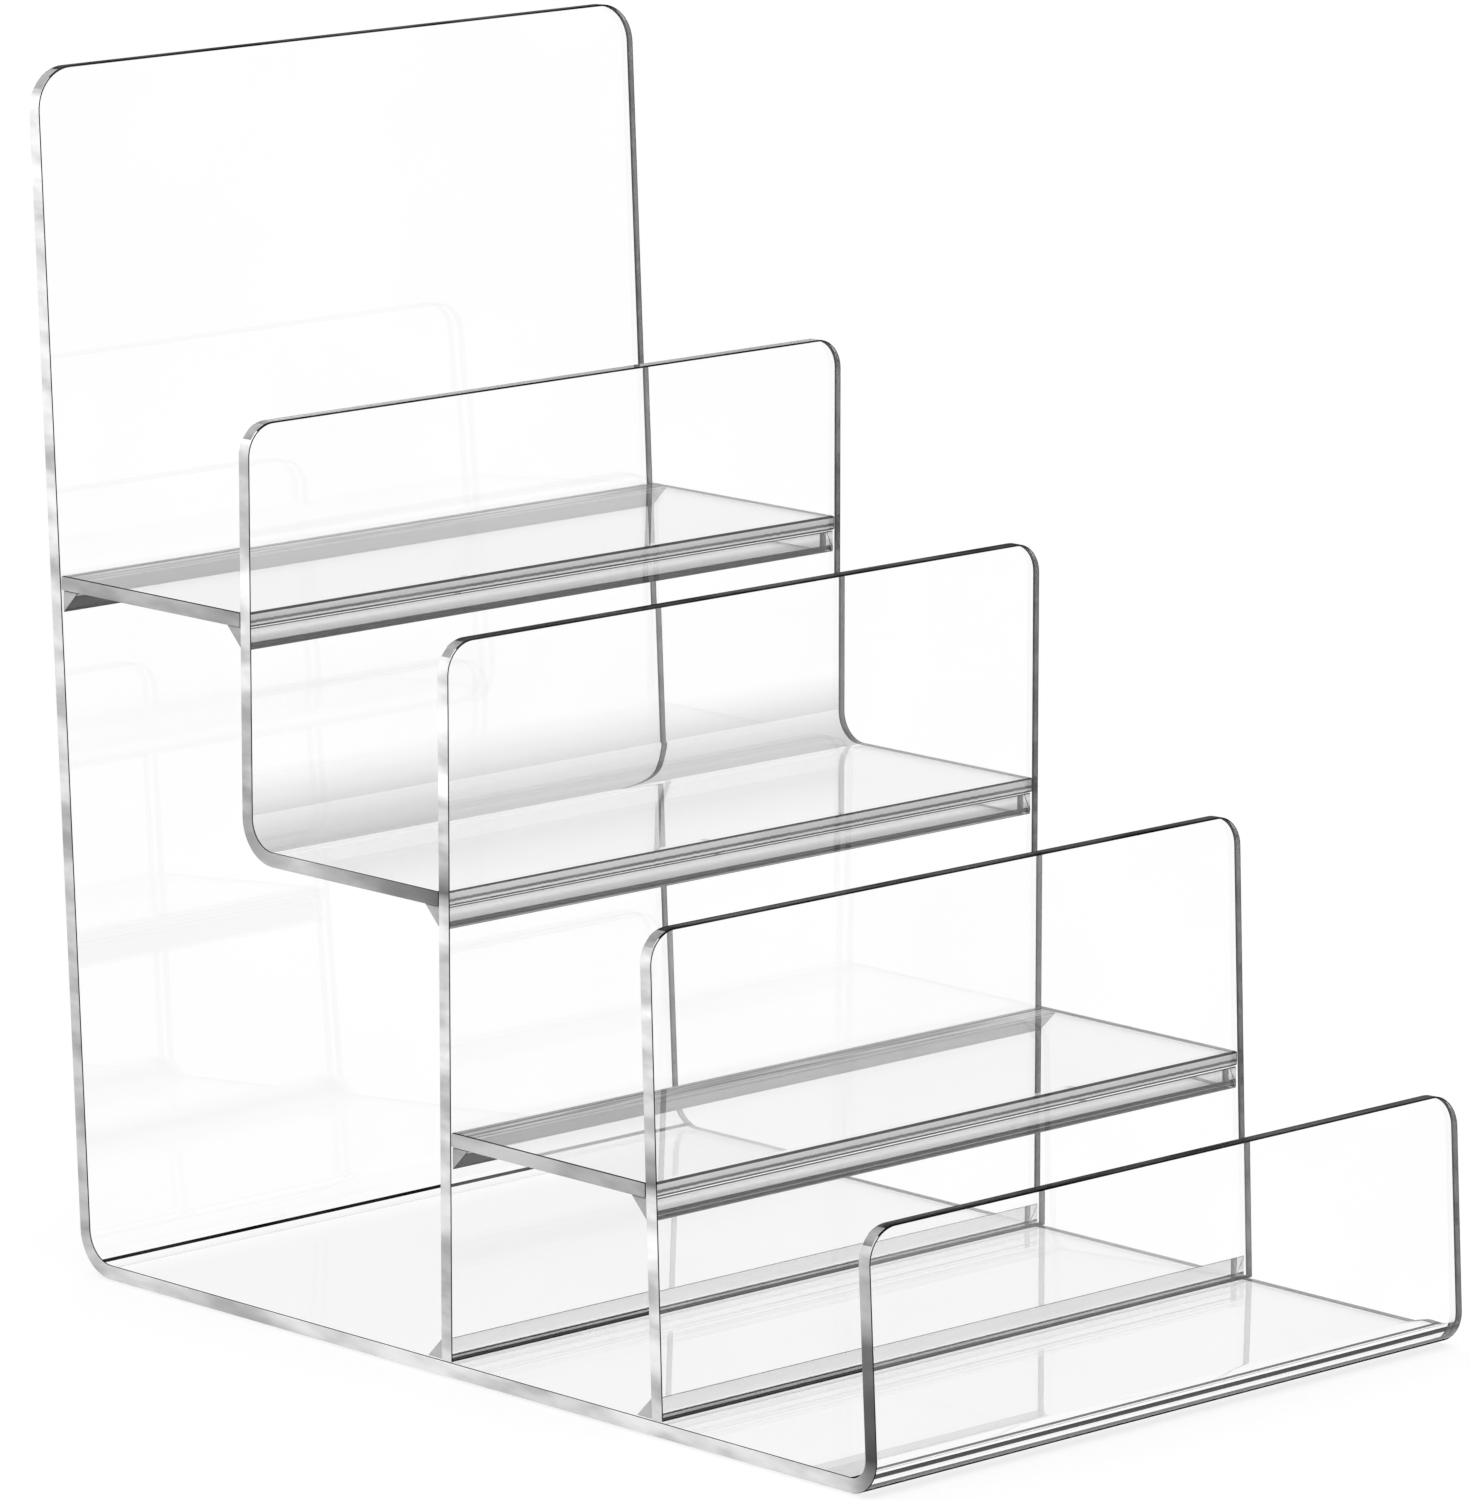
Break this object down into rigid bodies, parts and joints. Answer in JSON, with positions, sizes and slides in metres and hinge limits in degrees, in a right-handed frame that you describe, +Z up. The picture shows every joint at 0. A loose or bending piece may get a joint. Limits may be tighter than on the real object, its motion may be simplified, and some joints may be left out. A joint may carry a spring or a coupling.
{
  "type": "acrylic display riser",
  "caption": "Clear acrylic tiered display riser: bent and flat sheets glued over corner strips, with open pockets that step up from a front lip to a tall back panel.",
  "frame": {"origin": "under the middle of the whole riser, on the surface that it stands on", "axes": "+X across the width to the right as seen from the front, +Y from the front lip to the back panel, +Z up"},
  "size_m": [0.16, 0.2426, 0.2436],
  "materials": {
    "clear_acrylic_sheet": "clear cast acrylic, polished faces and edges",
    "clear_acrylic_strip": "clear acrylic strip, sawn and polished"
  },
  "bodies": {
    "root": {"floor_sheet": "clear_acrylic_sheet", "lower_riser": "clear_acrylic_sheet", "middle_riser": "clear_acrylic_sheet", "upper_riser_and_middle_shelf": "clear_acrylic_sheet", "lower_shelf": "clear_acrylic_sheet", "top_shelf": "clear_acrylic_sheet", "strip_lower_riser_foot": "clear_acrylic_strip", "strip_middle_riser_foot": "clear_acrylic_strip", "strip_lower_shelf_front": "clear_acrylic_strip", "strip_lower_shelf_rear": "clear_acrylic_strip", "strip_middle_shelf_front": "clear_acrylic_strip", "strip_top_shelf_front": "clear_acrylic_strip", "strip_top_shelf_rear": "clear_acrylic_strip"}
  },
  "joints": []
}
